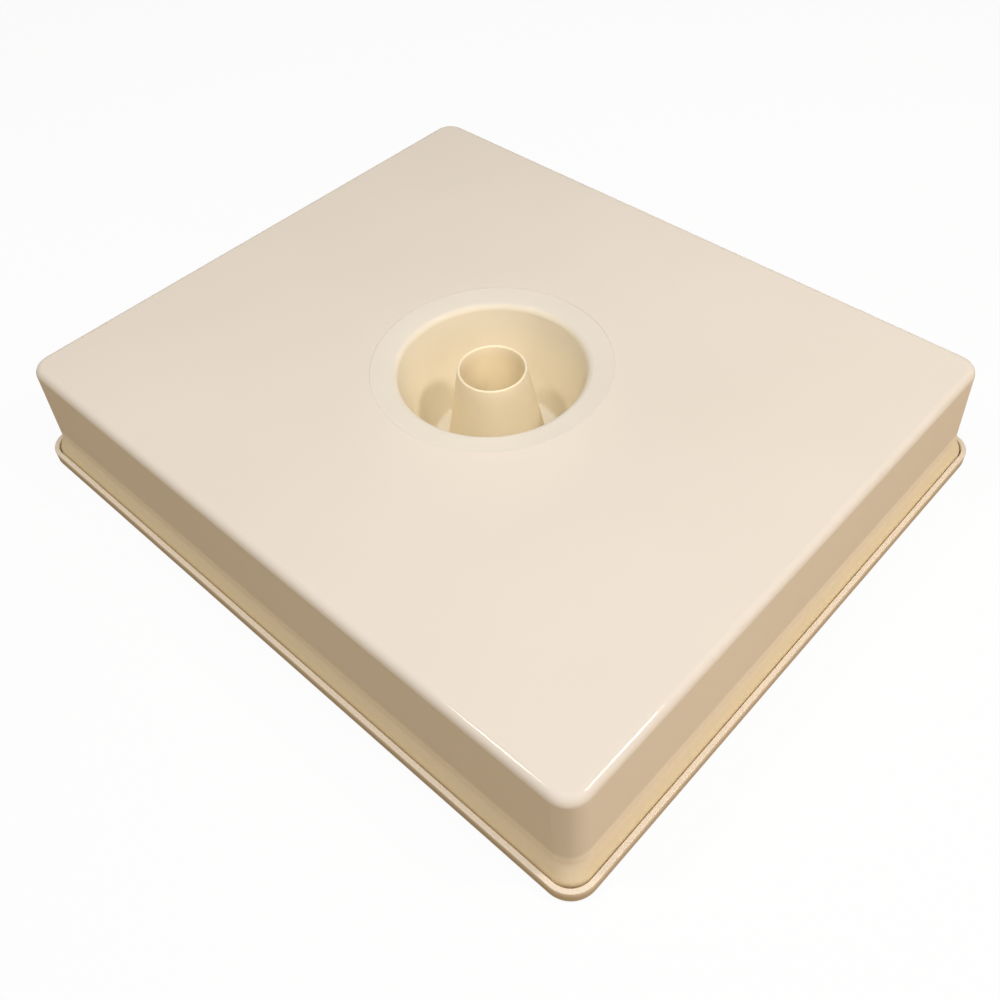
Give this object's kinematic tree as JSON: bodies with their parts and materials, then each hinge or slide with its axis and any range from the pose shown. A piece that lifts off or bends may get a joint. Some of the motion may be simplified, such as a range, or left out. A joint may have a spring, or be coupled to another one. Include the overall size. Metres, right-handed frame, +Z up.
{
  "type": "hive top feeder",
  "caption": "Shallow ivory plastic syrup tray for the top of a beehive, shown mouth down on its cover, with a round well, a feed tube and a clear twist-lock cup inside.",
  "frame": {"origin": "middle of the cover's outer face, on the surface that the feeder stands on", "axes": "+X along the long side, +Y along the short side, +Z up, out of the tray's flat face"},
  "size_m": [0.5, 0.422, 0.0846],
  "materials": {
    "cover_plastic": "gloss",
    "tray_plastic": "gloss",
    "chimney_plastic": "gloss",
    "clear_plastic": "clear gloss"
  },
  "bodies": {
    "cover": {"lid": "cover_plastic"},
    "feeder": {"tray": "tray_plastic", "chimney": "chimney_plastic"},
    "cup": {"cup": "clear_plastic"}
  },
  "joints": [
    {"name": "cover_lift", "type": "slide", "parent": "cover", "child": "feeder", "axis": [0, 0, 1], "range_m": [0, 0.1]},
    {"name": "cup_twist", "type": "hinge", "parent": "feeder", "child": "cup", "pos_m": [0, 0, 0.0798], "axis": [0, 0, 1], "range_deg": [0, 25]}
  ]
}
